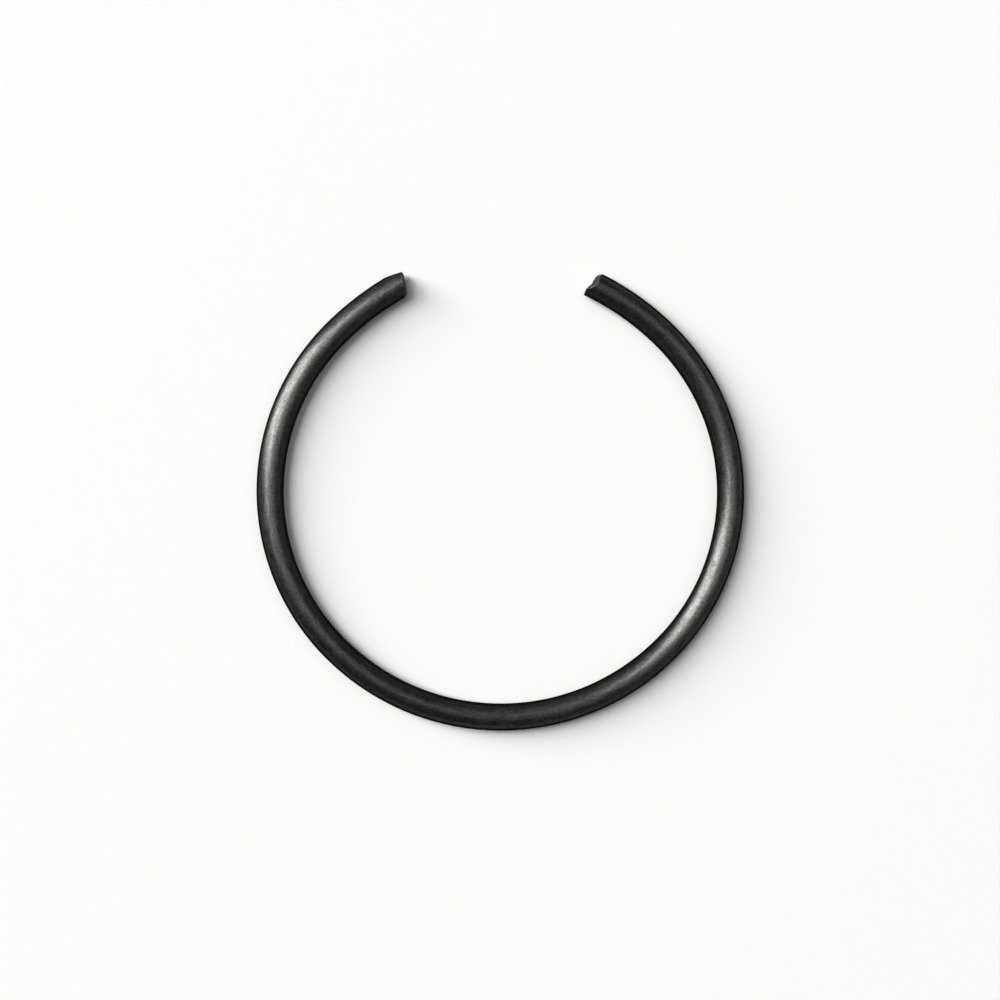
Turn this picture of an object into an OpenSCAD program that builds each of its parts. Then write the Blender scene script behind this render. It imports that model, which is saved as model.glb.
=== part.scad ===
// Round wire snap ring: one length of round spring wire, bent to an open C and sheared off at both ends.
// It lies flat, Z = 0 is the middle plane of the wire, and the gap faces +Y.
// Its bends meet on the diagonals of the ring. The back and the two tips are a little flatter than the sides.
// The origin is midway between the bend centres of the two sides.

/* [Wire] */
// Diameter of the spring wire
wire_d = 2.5; // [2:0.1:3.2]

/* [Bends, to the middle of the wire] */
// Bend radius of the left side
left_bend_r = 20.5; // [18:0.1:24]
// Bend radius of the right side
right_bend_r = 20.3; // [18:0.1:24]
// Bend radius of the back, opposite the gap
back_bend_r = 21.5; // [18:0.1:24]
// Bend radius of the left tip
left_tip_bend_r = 27; // [19:0.1:30]
// Bend radius of the right tip
right_tip_bend_r = 25; // [19:0.1:30]

/* [Gap] */
// Width of the gap between the two ends, at the middle of the wire
gap_w = 17; // [8:0.1:20]
// How far the middle of the gap lies towards the left end
gap_shift = 0.4; // [-1:0.1:1]

/* [Left end] */
// Lean of the left cut, seen from above: the wire is left longer on its outer side
left_lean = 16; // [0:1:20]
// Tilt of the left cut: its top edge is set back
left_tilt = 2; // [0:1:12]
// Radius of the inner corner, which the shear has drawn in
left_roll_r = 0.7; // [0.3:0.05:0.9]
// Length of the flat that the shear has pressed on the outer side, next to the cut
press_len = 1.6; // [1:0.1:2.4]
// Slope of that flat, down towards the cut
press_slope = 12; // [6:1:16]

/* [Right end] */
// Length of the lip that the shear has left on the inner side, past the rest of the cut
lip_len = 0.43; // [0.1:0.01:0.6]
// Width of the lip, from the inner side of the wire
lip_w = 0.65; // [0.4:0.05:0.8]
// Width of the ramp that leads from the lip to the rest of the cut
ramp_w = 0.7; // [0.4:0.1:1]
// Tilt of the lip's face: its bottom edge is set back
lip_tilt = 2; // [0:1:10]
// Tilt of the rest of the right cut: its top edge is set back
right_tilt = 10; // [0:1:16]
// Radius of the outer corner, which the shear has drawn in
right_roll_r = 0.6; // [0.3:0.05:0.7]

/* [Hidden] */
bend_facets = 240;
wire_facets = 64;
roll_facets = 48;
wire_r = wire_d / 2;
// Both tips are bent this much too long, and the cuts take it off
spare_len = 2.5;
// The blocks that cut the ends reach this far past the wire, to its sides and along it
block_reach = 1.5;
block_half = wire_r + block_reach;
block_len = spare_len + block_reach;
// A drawn-in corner starts this far outside the wire, so its curve meets the wire's side at an angle
roll_past = 0.06;

// The wire is laid out turned back by this angle, so that its bends meet on the X and Y directions.
// There the gap faces midway between +X and +Y, the left side runs from 90 to 180 degrees and so on.
layout_turn = 45;
left_side_from = 90;
back_from = 180;
right_side_from = 270;
right_tip_from = 360;

// Two bends that follow each other share a tangent, so their centres and the point where they meet are in line
left_step = back_bend_r - left_bend_r;
right_step = back_bend_r - right_bend_r;
back_centre = [left_step, right_step] / 2;
left_centre = back_centre - [left_step, 0];
right_centre = back_centre - [0, right_step];
left_tip_centre = left_centre - [0, left_tip_bend_r - left_bend_r];
right_tip_centre = right_centre - [right_tip_bend_r - right_bend_r, 0];

// How far a point of the layout lies to the right of the origin, once the wire is turned to its place
function rightwards(point) = (point.x - point.y) / sqrt(2);

// Direction of each end in the layout, from the centre of its tip's bend
left_end_x = -gap_w / 2 - gap_shift;
right_end_x = gap_w / 2 - gap_shift;
left_end_at = acos((left_end_x - rightwards(left_tip_centre)) / left_tip_bend_r) - layout_turn;
right_end_at = acos((right_end_x - rightwards(right_tip_centre)) / right_tip_bend_r) - layout_turn + 360;
left_spare_turn = spare_len / left_tip_bend_r * 180 / PI;
right_spare_turn = spare_len / right_tip_bend_r * 180 / PI;

// One bend of the wire, about its own centre
module bend(centre, bend_r, from, to) {
    translate(centre)
        rotate_extrude(angle = to - from, start = from, $fn = bend_facets)
            translate([bend_r, 0])
                circle(r = wire_r, $fn = wire_facets);
}

module bent_wire() {
    bend(left_tip_centre, left_tip_bend_r, left_end_at - left_spare_turn, left_side_from);
    bend(left_centre, left_bend_r, left_side_from, back_from);
    bend(back_centre, back_bend_r, back_from, right_side_from);
    bend(right_centre, right_bend_r, right_side_from, right_tip_from);
    bend(right_tip_centre, right_tip_bend_r, right_tip_from, right_end_at + right_spare_turn);
}

// Carries a cut to the left end, where +X runs along the wire into the gap and +Y points out of the ring
module at_left_end() {
    translate(left_tip_centre)
        rotate(left_end_at - 90)
            translate([0, left_tip_bend_r])
                children();
}

// Carries a cut to the right end, mirrored, so that +X runs into the gap and +Y points out of the ring there too
module at_right_end() {
    translate(right_tip_centre)
        rotate(right_end_at - 90)
            translate([0, right_tip_bend_r])
                mirror([1, 0, 0])
                    children();
}

// Takes off everything past X = 0
module cutting_block() {
    translate([0, -block_half, -block_half])
        cube([block_len, 2 * block_half, 2 * block_half]);
}

// Rounds the corner between a cut at X = 0 and the wire's +Y side, which leans away from square by this angle
module drawn_in_corner(roll_r, lean) {
    centre_y = (wire_r + roll_past - roll_r * (1 - sin(lean))) / cos(lean);
    translate([-roll_r, centre_y, -block_half])
        difference() {
            linear_extrude(2 * block_half)
                polygon([
                    [0, 0],
                    [block_len, 0],
                    [block_len, block_len],
                    [block_len * tan(lean), block_len]
                ]);
            cylinder(h = 2 * block_half, r = roll_r, $fn = roll_facets);
        }
}

module left_cut() {
    rotate([0, -left_tilt, -left_lean]) {
        cutting_block();
        mirror([0, 1, 0])
            drawn_in_corner(left_roll_r, left_lean);
    }
    translate([-press_len, wire_r, -block_half])
        rotate(-press_slope)
            cube([press_len + block_len, block_half, 2 * block_half]);
}

// The lip's own face, then the rest of the cut with the ramp that leads down to it, then the outer corner
module right_cut() {
    rotate([0, lip_tilt, 0])
        cutting_block();
    rotate([0, -right_tilt, 0]) {
        translate([0, 0, -block_half])
            linear_extrude(2 * block_half)
                polygon([
                    [-lip_len, block_half],
                    [-lip_len, lip_w + ramp_w - wire_r],
                    [0, lip_w - wire_r],
                    [block_len, lip_w - wire_r],
                    [block_len, block_half]
                ]);
        translate([-lip_len, 0, 0])
            drawn_in_corner(right_roll_r, 0);
    }
}

module snap_ring() {
    color([0.17, 0.17, 0.18])
        rotate(layout_turn)
            difference() {
                bent_wire();
                at_left_end()
                    left_cut();
                at_right_end()
                    right_cut();
            }
}

snap_ring();
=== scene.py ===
"""The looks of a round wire snap ring: black phosphated spring wire with sheared ends, on a pale floor."""

import math
from collections import namedtuple

import bpy
from mathutils import Matrix, Vector, noise


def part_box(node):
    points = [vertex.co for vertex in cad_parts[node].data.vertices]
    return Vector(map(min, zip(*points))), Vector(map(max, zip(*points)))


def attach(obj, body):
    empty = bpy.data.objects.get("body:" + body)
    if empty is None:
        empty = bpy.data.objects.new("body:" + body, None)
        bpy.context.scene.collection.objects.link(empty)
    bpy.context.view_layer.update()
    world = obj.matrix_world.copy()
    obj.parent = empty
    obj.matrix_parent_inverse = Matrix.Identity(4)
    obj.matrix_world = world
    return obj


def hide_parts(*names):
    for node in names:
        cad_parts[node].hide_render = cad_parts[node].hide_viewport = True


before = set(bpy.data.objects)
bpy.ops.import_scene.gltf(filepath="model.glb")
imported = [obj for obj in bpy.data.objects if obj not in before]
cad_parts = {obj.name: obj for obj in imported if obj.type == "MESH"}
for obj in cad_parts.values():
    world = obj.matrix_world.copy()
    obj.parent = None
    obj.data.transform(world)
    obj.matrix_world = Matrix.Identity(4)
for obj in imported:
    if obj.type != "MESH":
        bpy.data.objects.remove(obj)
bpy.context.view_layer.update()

MM = 0.001
UP = Vector((0, 0, 1))

# The wire and its bends, to the middle of the wire
wire_r = 1.25 * MM
left_bend_r = 20.5 * MM
right_bend_r = 20.3 * MM
back_bend_r = 21.5 * MM
left_tip_bend_r = 27 * MM
right_tip_bend_r = 25 * MM
gap_w = 17 * MM
gap_shift = 0.4 * MM

# The left cut: its lean seen from above, its set-back top, its drawn-in inner corner and the flat beside it
left_lean = math.radians(16)
left_tilt = math.radians(2)
left_roll_r = 0.7 * MM
press_len = 1.6 * MM
press_slope = math.radians(12)

# The right cut: its lip on the inner side, the ramp beside it, its set-back top and its drawn-in outer corner
lip_len = 0.43 * MM
lip_w = 0.65 * MM
ramp_w = 0.7 * MM
lip_tilt = math.radians(2)
right_tilt = math.radians(10)
right_roll_r = 0.6 * MM
# The step from the ramp up to the lip's face rises this many times its width
lip_wall_slope = 6

# A drawn-in corner starts this far outside the wire
roll_past = 0.06 * MM
# How softly one face of a cut runs into the next, and the radius on the edge of each cut
crease_r = 0.05 * MM
cut_edge_r = 0.06 * MM
# How deep the torn steel of a cut is, and the sizes of its coarse and its fine lumps
torn_depth = 0.022 * MM
coarse_tear = 0.30 * MM
fine_tear = 0.11 * MM

# The mesh: points around the wire, and the steps along it far from the ends and close to them
AROUND = 128
RUN_STEP = 0.4 * MM
END_STEP = 0.08 * MM
END_ZONE = 2.4 * MM
# Rings of points over the rounded edge of a cut, and over the rest of it
EDGE_STEPS = 4
FACE_RINGS = 34
# Rounds that settle where a cut lies at one place, and where it ends the wire's side
FACE_ROUNDS = 8
EDGE_ROUNDS = 12

# The flat layout of the surface: strips of the wire's side above each other, and the two cuts beside them
STRIPS = 4
LAYOUT_GAP = 0.5 * MM
LAYOUT_SIDE = 34.2 * MM

# How far from the edge of a cut the coating is rubbed
wear_reach = 0.25 * MM


def bend_centres():
    """The centres of the five bends, from the left tip to the right tip. The bends meet on the diagonals."""
    left_step = back_bend_r - left_bend_r
    right_step = back_bend_r - right_bend_r
    back = Vector((left_step, right_step, 0)) / 2
    left = back - Vector((left_step, 0, 0))
    right = back - Vector((0, right_step, 0))
    left_tip = left - Vector((0, left_tip_bend_r - left_bend_r, 0))
    right_tip = right - Vector((right_tip_bend_r - right_bend_r, 0, 0))
    turn = Matrix.Rotation(math.radians(45), 3, "Z")
    return [turn @ centre for centre in (left_tip, left, back, right, right_tip)]


Bend = namedtuple("Bend", "centre radius start length")


def wire_bends():
    """The bends as arcs that follow each other, with their lengths along the wire."""
    centres = bend_centres()
    radii = [left_tip_bend_r, left_bend_r, back_bend_r, right_bend_r, right_tip_bend_r]
    left_end_x = -gap_w / 2 - gap_shift
    right_end_x = gap_w / 2 - gap_shift
    left_end = math.acos((left_end_x - centres[0].x) / radii[0])
    right_end = math.acos((right_end_x - centres[-1].x) / radii[-1]) + math.tau
    meets = [left_end, *(math.radians(diagonal) for diagonal in (135, 225, 315, 405)), right_end]
    return [
        Bend(centre, radius, start, radius * (stop - start))
        for centre, radius, start, stop in zip(centres, radii, meets, meets[1:])
    ]


BENDS = wire_bends()
WIRE_LEN = sum(bend.length for bend in BENDS)


def on_wire(run):
    """Point, direction and outward direction of the wire's middle line, at this length from the left end."""
    for bend in BENDS:
        if run <= bend.length or bend is BENDS[-1]:
            break
        run -= bend.length
    angle = bend.start + run / bend.radius
    outward = Vector((math.cos(angle), math.sin(angle), 0))
    onward = Vector((-math.sin(angle), math.cos(angle), 0))
    return bend.centre + bend.radius * outward, onward, outward


def soft_min(a, b, reach):
    """The smaller of two values, rounded off where they come within reach of each other."""
    near = max(reach - abs(a - b), 0) / reach
    return min(a, b) - near * near * reach / 4


def soft_step(x):
    """From 0 to 1 with no sudden start or stop."""
    x = min(max(x, 0), 1)
    return x * x * (3 - 2 * x)


def drawn_in(past_start, roll_r):
    """How far a drawn-in corner falls back, this far past the place where its curve starts."""
    x = min(max(past_start, 0), roll_r)
    return roll_r - math.sqrt(roll_r * roll_r - x * x)


# Each cut is worked out in its end's own frame: x runs along the wire into the gap, y out of the ring, z up
LEFT_CUT_TURN = Matrix.Rotation(left_tilt, 3, "Y") @ Matrix.Rotation(left_lean, 3, "Z")
LEFT_CORNER_FROM = (wire_r + roll_past - left_roll_r * (1 - math.sin(left_lean))) / math.cos(left_lean)
RIGHT_CORNER_FROM = wire_r + roll_past - right_roll_r


def left_face_x(y, z):
    """Where the left cut lies along the wire, at this place across it."""
    x = 0.0
    for _ in range(FACE_ROUNDS):
        place = LEFT_CUT_TURN @ Vector((x, y, z))
        x -= place.x + drawn_in(-place.y - LEFT_CORNER_FROM, left_roll_r)
    return x


def right_face_x(y, z):
    """Where the right cut lies along the wire: the lip's face, or the ramp and the face beside it."""
    lip_face = z * math.tan(lip_tilt)
    past_lip = y - (lip_w - wire_r)
    if past_lip < 0:
        profile = -past_lip * lip_wall_slope
    else:
        profile = -min(past_lip / ramp_w, 1) * lip_len
    profile -= drawn_in(y - RIGHT_CORNER_FROM, right_roll_r)
    set_back = profile / math.cos(right_tilt) - z * math.tan(right_tilt)
    return soft_min(lip_face, set_back, crease_r)


def pressed_flat(place):
    """Presses a point of the left end down to the flat on the wire's outer side."""
    flat_y = wire_r - (place.x + press_len) * math.tan(press_slope)
    return Vector((place.x, soft_min(place.y, flat_y, crease_r / 2), place.z))


class WireEnd:
    """One end of the wire, with its own frame and the shape of its cut."""

    def __init__(self, run, into_gap, face_x, press):
        self.run = run
        self.into_gap = into_gap
        self.face_x = face_x
        self.press = press
        self.origin, onward, outward = on_wire(run)
        self.axes = Matrix((onward * into_gap, outward, UP))
        self.turns = section_turns()
        self.edges = [self.edge_x(turn) for turn in self.turns]

    def to_world(self, place):
        return self.axes.transposed() @ place + self.origin

    def side_place(self, x, turn):
        """The wire's side in this end's frame, this far along, at this turn around the section."""
        point, _, outward = on_wire(self.run + x * self.into_gap)
        point = point + wire_r * (math.cos(turn) * outward + math.sin(turn) * UP)
        place = self.axes @ (point - self.origin)
        return pressed_flat(place) if self.press else place

    def edge_x(self, turn):
        """How far the wire's side runs at this turn before the cut ends it."""
        x = 0.0
        for _ in range(EDGE_ROUNDS):
            place = self.side_place(x, turn)
            x += self.face_x(place.y, place.z) - place.x
        return x

    def side_ring(self, behind):
        """A ring of points on the side, this far behind the cut's edge. Further back, its shape evens out."""
        follow = 1 - soft_step(behind / END_ZONE)
        along = [edge * follow - behind for edge in self.edges]
        return [self.to_world(self.side_place(x, turn)) for x, turn in zip(along, self.turns)]

    def face_ring(self, inset, share, behind):
        """A ring of points over the cut, this far in from its edge and then shrunk to a share."""
        points = []
        for x, turn in zip(self.edges, self.turns):
            edge = self.side_place(x, turn)
            scale = (1 - inset / math.hypot(edge.y, edge.z)) * share
            points.append(self.to_world(self.face_place(edge.y * scale, edge.z * scale, share, behind)))
        return points

    def face_place(self, y, z, share, behind):
        """A point of the cut. Away from its edge, the steel is torn and lies a little deeper."""
        own_tear = Vector((0, 3 * self.into_gap, 7))
        place = Vector((self.face_x(y, z) - behind, y, z))
        coarse = noise.noise(place / coarse_tear + own_tear)
        fine = noise.noise(place / fine_tear + own_tear)
        tear = 0.5 + 0.35 * coarse + 0.25 * fine
        whole_edge = 4 * cut_edge_r
        place.x -= tear * torn_depth * soft_step((1 - share) * wire_r / whole_edge)
        return place

    def cut_rings(self):
        """The rings over the cut from its middle outwards, then over its rounded edge."""
        face = [self.face_ring(cut_edge_r, step / FACE_RINGS, 0) for step in range(1, FACE_RINGS)]
        leans = [math.radians(90) * step / EDGE_STEPS for step in range(EDGE_STEPS, 0, -1)]
        edge = [
            self.face_ring(cut_edge_r * (1 - math.cos(lean)), 1, cut_edge_r * (1 - math.sin(lean)))
            for lean in leans
        ]
        return face + edge


def section_turns():
    """Turns around the section from the outward direction, starting at the bottom of the wire."""
    return [math.tau * (step / AROUND - 0.25) for step in range(AROUND)]


def steps_between(start, stop, step):
    """Evenly spaced values from start to stop, both included."""
    count = max(1, round((stop - start) / step))
    return [start + (stop - start) * i / count for i in range(count + 1)]


def middle_ring(run):
    point, _, outward = on_wire(run)
    return [point + wire_r * (math.cos(turn) * outward + math.sin(turn) * UP) for turn in section_turns()]


def snap_ring_mesh():
    """The wire from one cut to the other, as rings of points, with the length along the wire of each."""
    left = WireEnd(0.0, -1, left_face_x, press=True)
    right = WireEnd(WIRE_LEN, 1, right_face_x, press=False)
    end_steps = steps_between(cut_edge_r, END_ZONE, END_STEP)
    middle_steps = steps_between(END_ZONE, WIRE_LEN - END_ZONE, RUN_STEP)[1:-1]
    left_cut = left.cut_rings()
    right_cut = right.cut_rings()[::-1]

    rings = left_cut + [left.side_ring(behind) for behind in end_steps]
    rings += [middle_ring(run) for run in middle_steps]
    rings += [right.side_ring(behind) for behind in end_steps[::-1]] + right_cut
    runs = [0.0] * len(left_cut) + end_steps + middle_steps
    runs += [WIRE_LEN - behind for behind in end_steps[::-1]] + [WIRE_LEN] * len(right_cut)

    points = [point for ring in rings for point in ring]
    tips = [end.to_world(end.face_place(0, 0, 0, 0)) for end in (left, right)]
    faces = []
    for row in range(len(rings) - 1):
        for step in range(AROUND):
            beside = (step + 1) % AROUND
            start = row * AROUND
            faces.append((start + step, start + beside, start + AROUND + beside, start + AROUND + step))
    last = (len(rings) - 1) * AROUND
    first_tip, last_tip = len(points), len(points) + 1
    faces += [(first_tip, (step + 1) % AROUND, step) for step in range(AROUND)]
    faces += [(last_tip, last + step, last + (step + 1) % AROUND) for step in range(AROUND)]

    mesh = bpy.data.meshes.new("snap_ring_wire")
    mesh.from_pydata(points + tips, [], faces)
    mesh.shade_smooth()

    side_from, side_to = len(left_cut), len(rings) - len(right_cut)
    cut_rows = [row < side_from - 1 or row >= side_to for row in range(len(rings) - 1)]
    on_cut = [cut for cut in cut_rows for _ in range(AROUND)] + [True] * (2 * AROUND)
    mesh.polygons.foreach_set("material_index", [int(cut) for cut in on_cut])
    lay_out_wire(mesh, runs, side_from, side_to)
    mark_worn_edges(mesh, runs, side_from, side_to)
    return mesh


def face_corners(row, step, ring_count):
    """The ring and the step of each corner of a face. The middle of each cut counts as one more ring."""
    if row < ring_count - 1:
        return [(row, step), (row, step + 1), (row + 1, step + 1), (row + 1, step)]
    if row == ring_count - 1:
        return [(-1, step), (0, step + 1), (0, step)]
    return [(ring_count, step), (ring_count - 1, step), (ring_count - 1, step + 1)]


def strip_place(run, turn, strip):
    """A point of the wire's side, in one of the strips of the flat layout."""
    girth = math.tau * wire_r
    u = LAYOUT_GAP + run - strip * WIRE_LEN / STRIPS
    v = LAYOUT_GAP + strip * (girth + LAYOUT_GAP) + turn * girth
    return u / LAYOUT_SIDE, v / LAYOUT_SIDE


def disc_place(share, turn, disc):
    """A point of a cut in the flat layout, this share of the way from its middle to its edge."""
    u = WIRE_LEN / STRIPS + 3 * LAYOUT_GAP + wire_r * (1 + share * math.cos(math.tau * turn))
    v = LAYOUT_GAP + disc * (2 * wire_r + LAYOUT_GAP) + wire_r * (1 + share * math.sin(math.tau * turn))
    return u / LAYOUT_SIDE, v / LAYOUT_SIDE


def lay_out_wire(mesh, runs, side_from, side_to):
    """Two UV maps: the length along the wire with the turn around it, and a flat layout with no overlaps."""
    wire_run = mesh.uv_layers.new(name="wire_run")
    flat = mesh.uv_layers.new(name="OFBake")
    last = len(runs)
    for face in mesh.polygons:
        row, step = divmod(face.index, AROUND)
        corners = face_corners(row, step, last)
        on_left_cut = row < side_from - 1 or row == last - 1
        on_right_cut = row >= side_to and not on_left_cut
        strip = min(int(runs[min(row, last - 1)] / WIRE_LEN * STRIPS), STRIPS - 1)
        for loop, (ring, corner_step) in zip(face.loop_indices, corners):
            run = runs[min(max(ring, 0), last - 1)]
            turn = corner_step / AROUND
            wire_run.uv[loop].vector = (run / WIRE_LEN, turn)
            # The turn is taken backwards where the layout would come out as a mirror image
            if on_left_cut:
                flat.uv[loop].vector = disc_place((ring + 1) / side_from, -turn, 0)
            elif on_right_cut:
                flat.uv[loop].vector = disc_place((last - ring) / (last - side_to), turn, 1)
            else:
                flat.uv[loop].vector = strip_place(run, 1 - turn, strip)


def mark_worn_edges(mesh, runs, side_from, side_to):
    """A value on each point that is 1 on the edge of a cut and fades over a short reach to both sides."""
    wear = []
    face_step = (wire_r - cut_edge_r) / FACE_RINGS
    for row, run in enumerate(runs):
        into_face = max(side_from - EDGE_STEPS - row, row - side_to - EDGE_STEPS + 1, 0) * face_step
        on_side = min(run, WIRE_LEN - run)
        wear += [1 - soft_step(max(into_face, on_side) / wear_reach)] * AROUND
    cut_wear = mesh.attributes.new("cut_wear", "FLOAT", "POINT")
    cut_wear.data.foreach_set("value", wear + [0.0, 0.0])


def put_node(tree, kind, inputs=None, **settings):
    """Adds a node, sets its options, and links or sets its inputs."""
    made = tree.nodes.new(kind)
    for name, value in settings.items():
        setattr(made, name, value)
    for socket, value in (inputs or {}).items():
        if isinstance(value, bpy.types.NodeSocket):
            tree.links.new(value, made.inputs[socket])
        else:
            made.inputs[socket].default_value = value
    return made


def put_math(tree, operation, a, b=0.0, clamp=False):
    made = put_node(tree, "ShaderNodeMath", {0: a, 1: b}, operation=operation, use_clamp=clamp)
    return made.outputs[0]


def put_range(tree, value, low, high, to_low=0.0, to_high=1.0):
    """Runs a value from one range smoothly into another."""
    inputs = {"Value": value, "From Min": low, "From Max": high, "To Min": to_low, "To Max": to_high}
    return put_node(tree, "ShaderNodeMapRange", inputs, interpolation_type="SMOOTHSTEP").outputs["Result"]


def put_mix(tree, share, a, b):
    """Mixes two colours."""
    made = put_node(tree, "ShaderNodeMix", data_type="RGBA")
    for socket, value in (("Factor_Float", share), ("A_Color", a), ("B_Color", b)):
        target = next(found for found in made.inputs if found.identifier == socket)
        if isinstance(value, bpy.types.NodeSocket):
            tree.links.new(value, target)
        else:
            target.default_value = value
    return next(found for found in made.outputs if found.identifier == "Result_Color")


def new_group(name, inputs, outputs):
    """A node group with named number inputs, each with its usual value, and named outputs."""
    tree = bpy.data.node_groups.new(name, "ShaderNodeTree")
    for label, value in inputs.items():
        socket = tree.interface.new_socket(label, in_out="INPUT", socket_type="NodeSocketFloat")
        socket.default_value = value
    for label in outputs:
        tree.interface.new_socket(label, in_out="OUTPUT", socket_type="NodeSocketFloat")
    return tree, tree.nodes.new("NodeGroupInput").outputs, tree.nodes.new("NodeGroupOutput")


def phosphate_grain():
    """Fine crystals of the coating and the soft patches that the oil leaves in it."""
    tree, given, out = new_group("Phosphate grain", {"Crystals per mm": 5.0}, ["Crystals", "Patches"])
    place = put_node(tree, "ShaderNodeTexCoord").outputs["Object"]
    per_metre = put_math(tree, "MULTIPLY", given["Crystals per mm"], 1 / MM)
    crystals = put_node(
        tree, "ShaderNodeTexNoise",
        {"Vector": place, "Scale": per_metre, "Detail": 3.0, "Roughness": 0.6},
    ).outputs["Fac"]
    patches = put_node(
        tree, "ShaderNodeTexNoise",
        {"Vector": place, "Scale": 0.9 / MM, "Detail": 4.0, "Roughness": 0.65},
    ).outputs["Fac"]
    tree.links.new(put_range(tree, crystals, 0.3, 0.7), out.inputs["Crystals"])
    tree.links.new(put_range(tree, patches, 0.3, 0.7), out.inputs["Patches"])
    return tree


def draw_lines():
    """Fine lines that the drawing die leaves along the wire, and how near a place is to its top or bottom."""
    usual = {"Lines per mm": 6.0, "Line length (mm)": 1.6}
    tree, given, out = new_group("Draw lines", usual, ["Lines", "Crest"])
    map_out = put_node(tree, "ShaderNodeUVMap", uv_map="wire_run").outputs["UV"]
    split = put_node(tree, "ShaderNodeSeparateXYZ", {0: map_out})
    run = put_math(tree, "MULTIPLY", split.outputs["X"], WIRE_LEN / MM)
    length = put_math(tree, "DIVIDE", run, given["Line length (mm)"])
    turn = put_math(tree, "MULTIPLY", split.outputs["Y"], math.tau)
    around = put_math(tree, "MULTIPLY", given["Lines per mm"], wire_r / MM)
    across = put_math(tree, "MULTIPLY", put_math(tree, "COSINE", turn), around)
    upright = put_math(tree, "MULTIPLY", put_math(tree, "SINE", turn), around)
    place = put_node(tree, "ShaderNodeCombineXYZ", {"X": length, "Y": across, "Z": upright}).outputs[0]
    lines = put_node(
        tree, "ShaderNodeTexNoise",
        {"Vector": place, "Scale": 1.0, "Detail": 2.0, "Roughness": 0.5},
    ).outputs["Fac"]
    tree.links.new(put_range(tree, lines, 0.3, 0.7), out.inputs["Lines"])
    crest = put_math(tree, "ABSOLUTE", put_math(tree, "COSINE", turn))
    tree.links.new(crest, out.inputs["Crest"])
    return tree


def rubbed_edge():
    """Where handling has rubbed the coating off the edge of a cut, broken up as wear is."""
    tree, given, out = new_group("Rubbed edge", {"Amount": 0.5}, ["Rubbed"])
    edge = put_node(tree, "ShaderNodeAttribute", attribute_name="cut_wear").outputs["Fac"]
    place = put_node(tree, "ShaderNodeTexCoord").outputs["Object"]
    broken = put_node(
        tree, "ShaderNodeTexNoise",
        {"Vector": place, "Scale": 5 / MM, "Detail": 4.0, "Roughness": 0.7},
    ).outputs["Fac"]
    worn = put_math(tree, "MULTIPLY", edge, put_range(tree, broken, 0.42, 0.62))
    tree.links.new(put_math(tree, "MULTIPLY", worn, given["Amount"], clamp=True), out.inputs["Rubbed"])
    return tree


def use_group(tree, group, inputs=None):
    made = put_node(tree, "ShaderNodeGroup", node_tree=group)
    for label, value in (inputs or {}).items():
        made.inputs[label].default_value = value
    return made.outputs


def new_material(name):
    """An empty material with its surface shader and output."""
    material = bpy.data.materials.new(name)
    material.use_nodes = True
    tree = material.node_tree
    tree.nodes.clear()
    surface = tree.nodes.new("ShaderNodeBsdfPrincipled")
    output = tree.nodes.new("ShaderNodeOutputMaterial")
    tree.links.new(surface.outputs[0], output.inputs["Surface"])
    return material, tree, surface


def phosphated_wire(grain, lines, rubbed):
    """The drawn side of the wire: black phosphate with oil. Its draw lines spread a highlight crosswise. Its
    base colour has painted shade on the sides of the wire and a painted sheen on its top and bottom.
    """
    material, tree, surface = new_material("phosphated_wire")
    coat = use_group(tree, grain)
    drawn = use_group(tree, lines)
    worn = use_group(tree, rubbed, {"Amount": 0.25})["Rubbed"]
    tone = put_math(tree, "ADD", put_math(tree, "MULTIPLY", coat["Crystals"], 0.65),
                    put_math(tree, "MULTIPLY", drawn["Lines"], 0.35))
    # Painted shade and sheen: the base colour is dark on the sides of the wire and lighter on its top and
    # bottom, standing in for how the light falls there. Within each, the tone varies with the coating's
    # crystals and draw lines.
    crest_grain_and_painted_sheen = put_mix(tree, tone, (0.05, 0.05, 0.0492, 1), (0.135, 0.135, 0.133, 1))
    side_grain_and_painted_shade = put_mix(tree, tone, (0.008, 0.008, 0.0079, 1), (0.025, 0.025, 0.0246, 1))
    colour = put_mix(tree, put_range(tree, drawn["Crest"], 0.5, 0.9), side_grain_and_painted_shade, crest_grain_and_painted_sheen)
    colour = put_mix(tree, worn, colour, (0.3, 0.299, 0.294, 1))
    tree.links.new(colour, surface.inputs["Base Color"])
    surface.inputs["Metallic"].default_value = 1.0
    surface.inputs["Specular Tint"].default_value = (0.35, 0.35, 0.35, 1)
    tree.links.new(put_range(tree, coat["Patches"], 0, 1, 0.28, 0.35), surface.inputs["Roughness"])
    surface.inputs["Anisotropic"].default_value = 0.8
    surface.inputs["Anisotropic Rotation"].default_value = 0.25
    along = put_node(tree, "ShaderNodeTangent", direction_type="UV_MAP", uv_map="wire_run")
    tree.links.new(along.outputs[0], surface.inputs["Tangent"])
    height = put_math(tree, "ADD", put_math(tree, "MULTIPLY", drawn["Lines"], 0.6), coat["Crystals"])
    bump = put_node(tree, "ShaderNodeBump", {"Height": height, "Strength": 1.0, "Distance": 0.0012 * MM})
    tree.links.new(bump.outputs[0], surface.inputs["Normal"])
    return material


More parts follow.
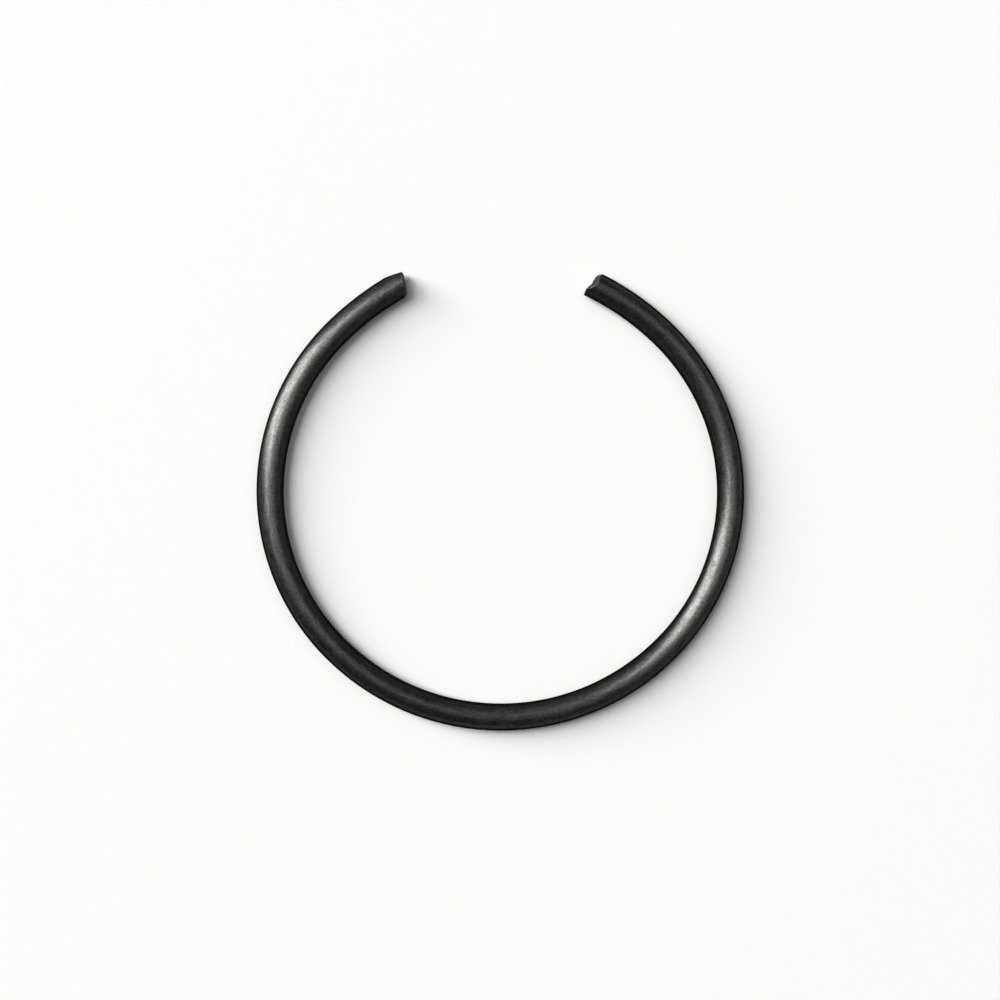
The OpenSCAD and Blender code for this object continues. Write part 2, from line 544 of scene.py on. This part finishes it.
def sheared_face(grain, rubbed):
    """The cut ends: rough torn steel under the same coating, rubbed a little at the edges."""
    material, tree, surface = new_material("sheared_face")
    coat = use_group(tree, grain, {"Crystals per mm": 9.0})
    worn = use_group(tree, rubbed, {"Amount": 0.2})["Rubbed"]
    colour = put_mix(tree, coat["Crystals"], (0.06, 0.06, 0.06, 1), (0.16, 0.16, 0.16, 1))
    colour = put_mix(tree, worn, colour, (0.3, 0.299, 0.294, 1))
    tree.links.new(colour, surface.inputs["Base Color"])
    surface.inputs["Metallic"].default_value = 1.0
    surface.inputs["Specular Tint"].default_value = (0.25, 0.25, 0.25, 1)
    tree.links.new(put_range(tree, coat["Patches"], 0, 1, 0.5, 0.62), surface.inputs["Roughness"])
    height = coat["Crystals"]
    bump = put_node(tree, "ShaderNodeBump", {"Height": height, "Strength": 1.0, "Distance": 0.006 * MM})
    tree.links.new(bump.outputs[0], surface.inputs["Normal"])
    return material


def build_snap_ring():
    """The one piece of the object, in place of the plain solid."""
    grain, lines, rubbed = phosphate_grain(), draw_lines(), rubbed_edge()
    piece = bpy.data.objects.new("snap_ring_wire", snap_ring_mesh())
    bpy.context.scene.collection.objects.link(piece)
    piece.data.materials.append(phosphated_wire(grain, lines, rubbed))
    piece.data.materials.append(sheared_face(grain, rubbed))
    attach(piece, "root")
    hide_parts("snap_ring")


def build_floor():
    """A plain white floor at the height that the wire rests on."""
    half, height = 2.5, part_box("snap_ring")[0].z
    corners = [(-half, -half, height), (half, -half, height), (half, half, height), (-half, half, height)]
    mesh = bpy.data.meshes.new("floor")
    mesh.from_pydata(corners, [], [(0, 1, 2, 3)])
    floor = bpy.data.objects.new("floor", mesh)
    bpy.context.scene.collection.objects.link(floor)
    material, _, surface = new_material("white_floor")
    surface.inputs["Base Color"].default_value = (0.97, 0.97, 0.97, 1)
    surface.inputs["Roughness"].default_value = 1.0
    surface.inputs["Specular IOR Level"].default_value = 0.0
    mesh.materials.append(material)


def from_above(azimuth, lean, distance):
    """A point at this distance from the ring, turned this far from +X and leaning away from straight up."""
    side = math.sin(lean) * distance
    return Vector((side * math.cos(azimuth), side * math.sin(azimuth), math.cos(lean) * distance))


def build_softbox(name, azimuth, lean, size, share, colour):
    """A softbox whose first size runs up and down its lean. It gives the floor this share of its light."""
    distance = 6.0
    data = bpy.data.lights.new(name, "AREA")
    data.shape = "RECTANGLE"
    data.size, data.size_y = size
    data.energy = share * math.pi ** 2 * distance ** 2 / math.cos(lean)
    data.color = colour
    lamp = bpy.data.objects.new(name, data)
    bpy.context.scene.collection.objects.link(lamp)
    lamp.location = from_above(azimuth, lean, distance)
    back = lamp.location.normalized()
    short_side = UP.cross(back).normalized()
    lamp.matrix_world = Matrix.Translation(lamp.location) @ Matrix(
        (back.cross(short_side), -short_side, back)
    ).transposed().to_4x4()


def build_lights():
    """A long softbox at the upper left, faint ones at the right and beyond the gap, and low even light."""
    build_softbox("key_softbox", math.radians(155), math.radians(44), (7.6, 2.6), 1.06, (1.0, 0.995, 0.965))
    build_softbox("right_softbox", math.radians(15), math.radians(18), (3.6, 3.6), 0.1, (0.96, 0.98, 1.0))
    build_softbox("top_softbox", math.radians(110), math.radians(40), (4.8, 4.8), 0.05, (0.96, 0.98, 1.0))
    world = bpy.data.worlds.new("studio")
    bpy.context.scene.world = world
    world.use_nodes = True
    background = world.node_tree.nodes["Background"]
    background.inputs["Color"].default_value = (0.97, 0.985, 1.0, 1)
    background.inputs["Strength"].default_value = 0.05


def build_camera():
    """Straight above the ring, with the picture's middle where the photograph has it."""
    picture_px = 1000
    mm_per_px = 0.092
    ring_origin_px = Vector((501.4, 491.8))
    data = bpy.data.cameras.new("camera")
    data.lens, data.sensor_width = 80, 36
    data.clip_start, data.clip_end = 0.01, 10
    across = picture_px * mm_per_px * MM
    distance = across * data.lens / data.sensor_width
    middle_px = picture_px / 2
    x = (middle_px - ring_origin_px.x) * mm_per_px * MM
    y = (ring_origin_px.y - middle_px) * mm_per_px * MM
    camera = bpy.data.objects.new("camera", data)
    bpy.context.scene.collection.objects.link(camera)
    camera.location = (x, y, distance)
    bpy.context.scene.camera = camera


build_camera()
build_snap_ring()
build_floor()
build_lights()
bpy.context.scene.view_settings.view_transform = "Standard"
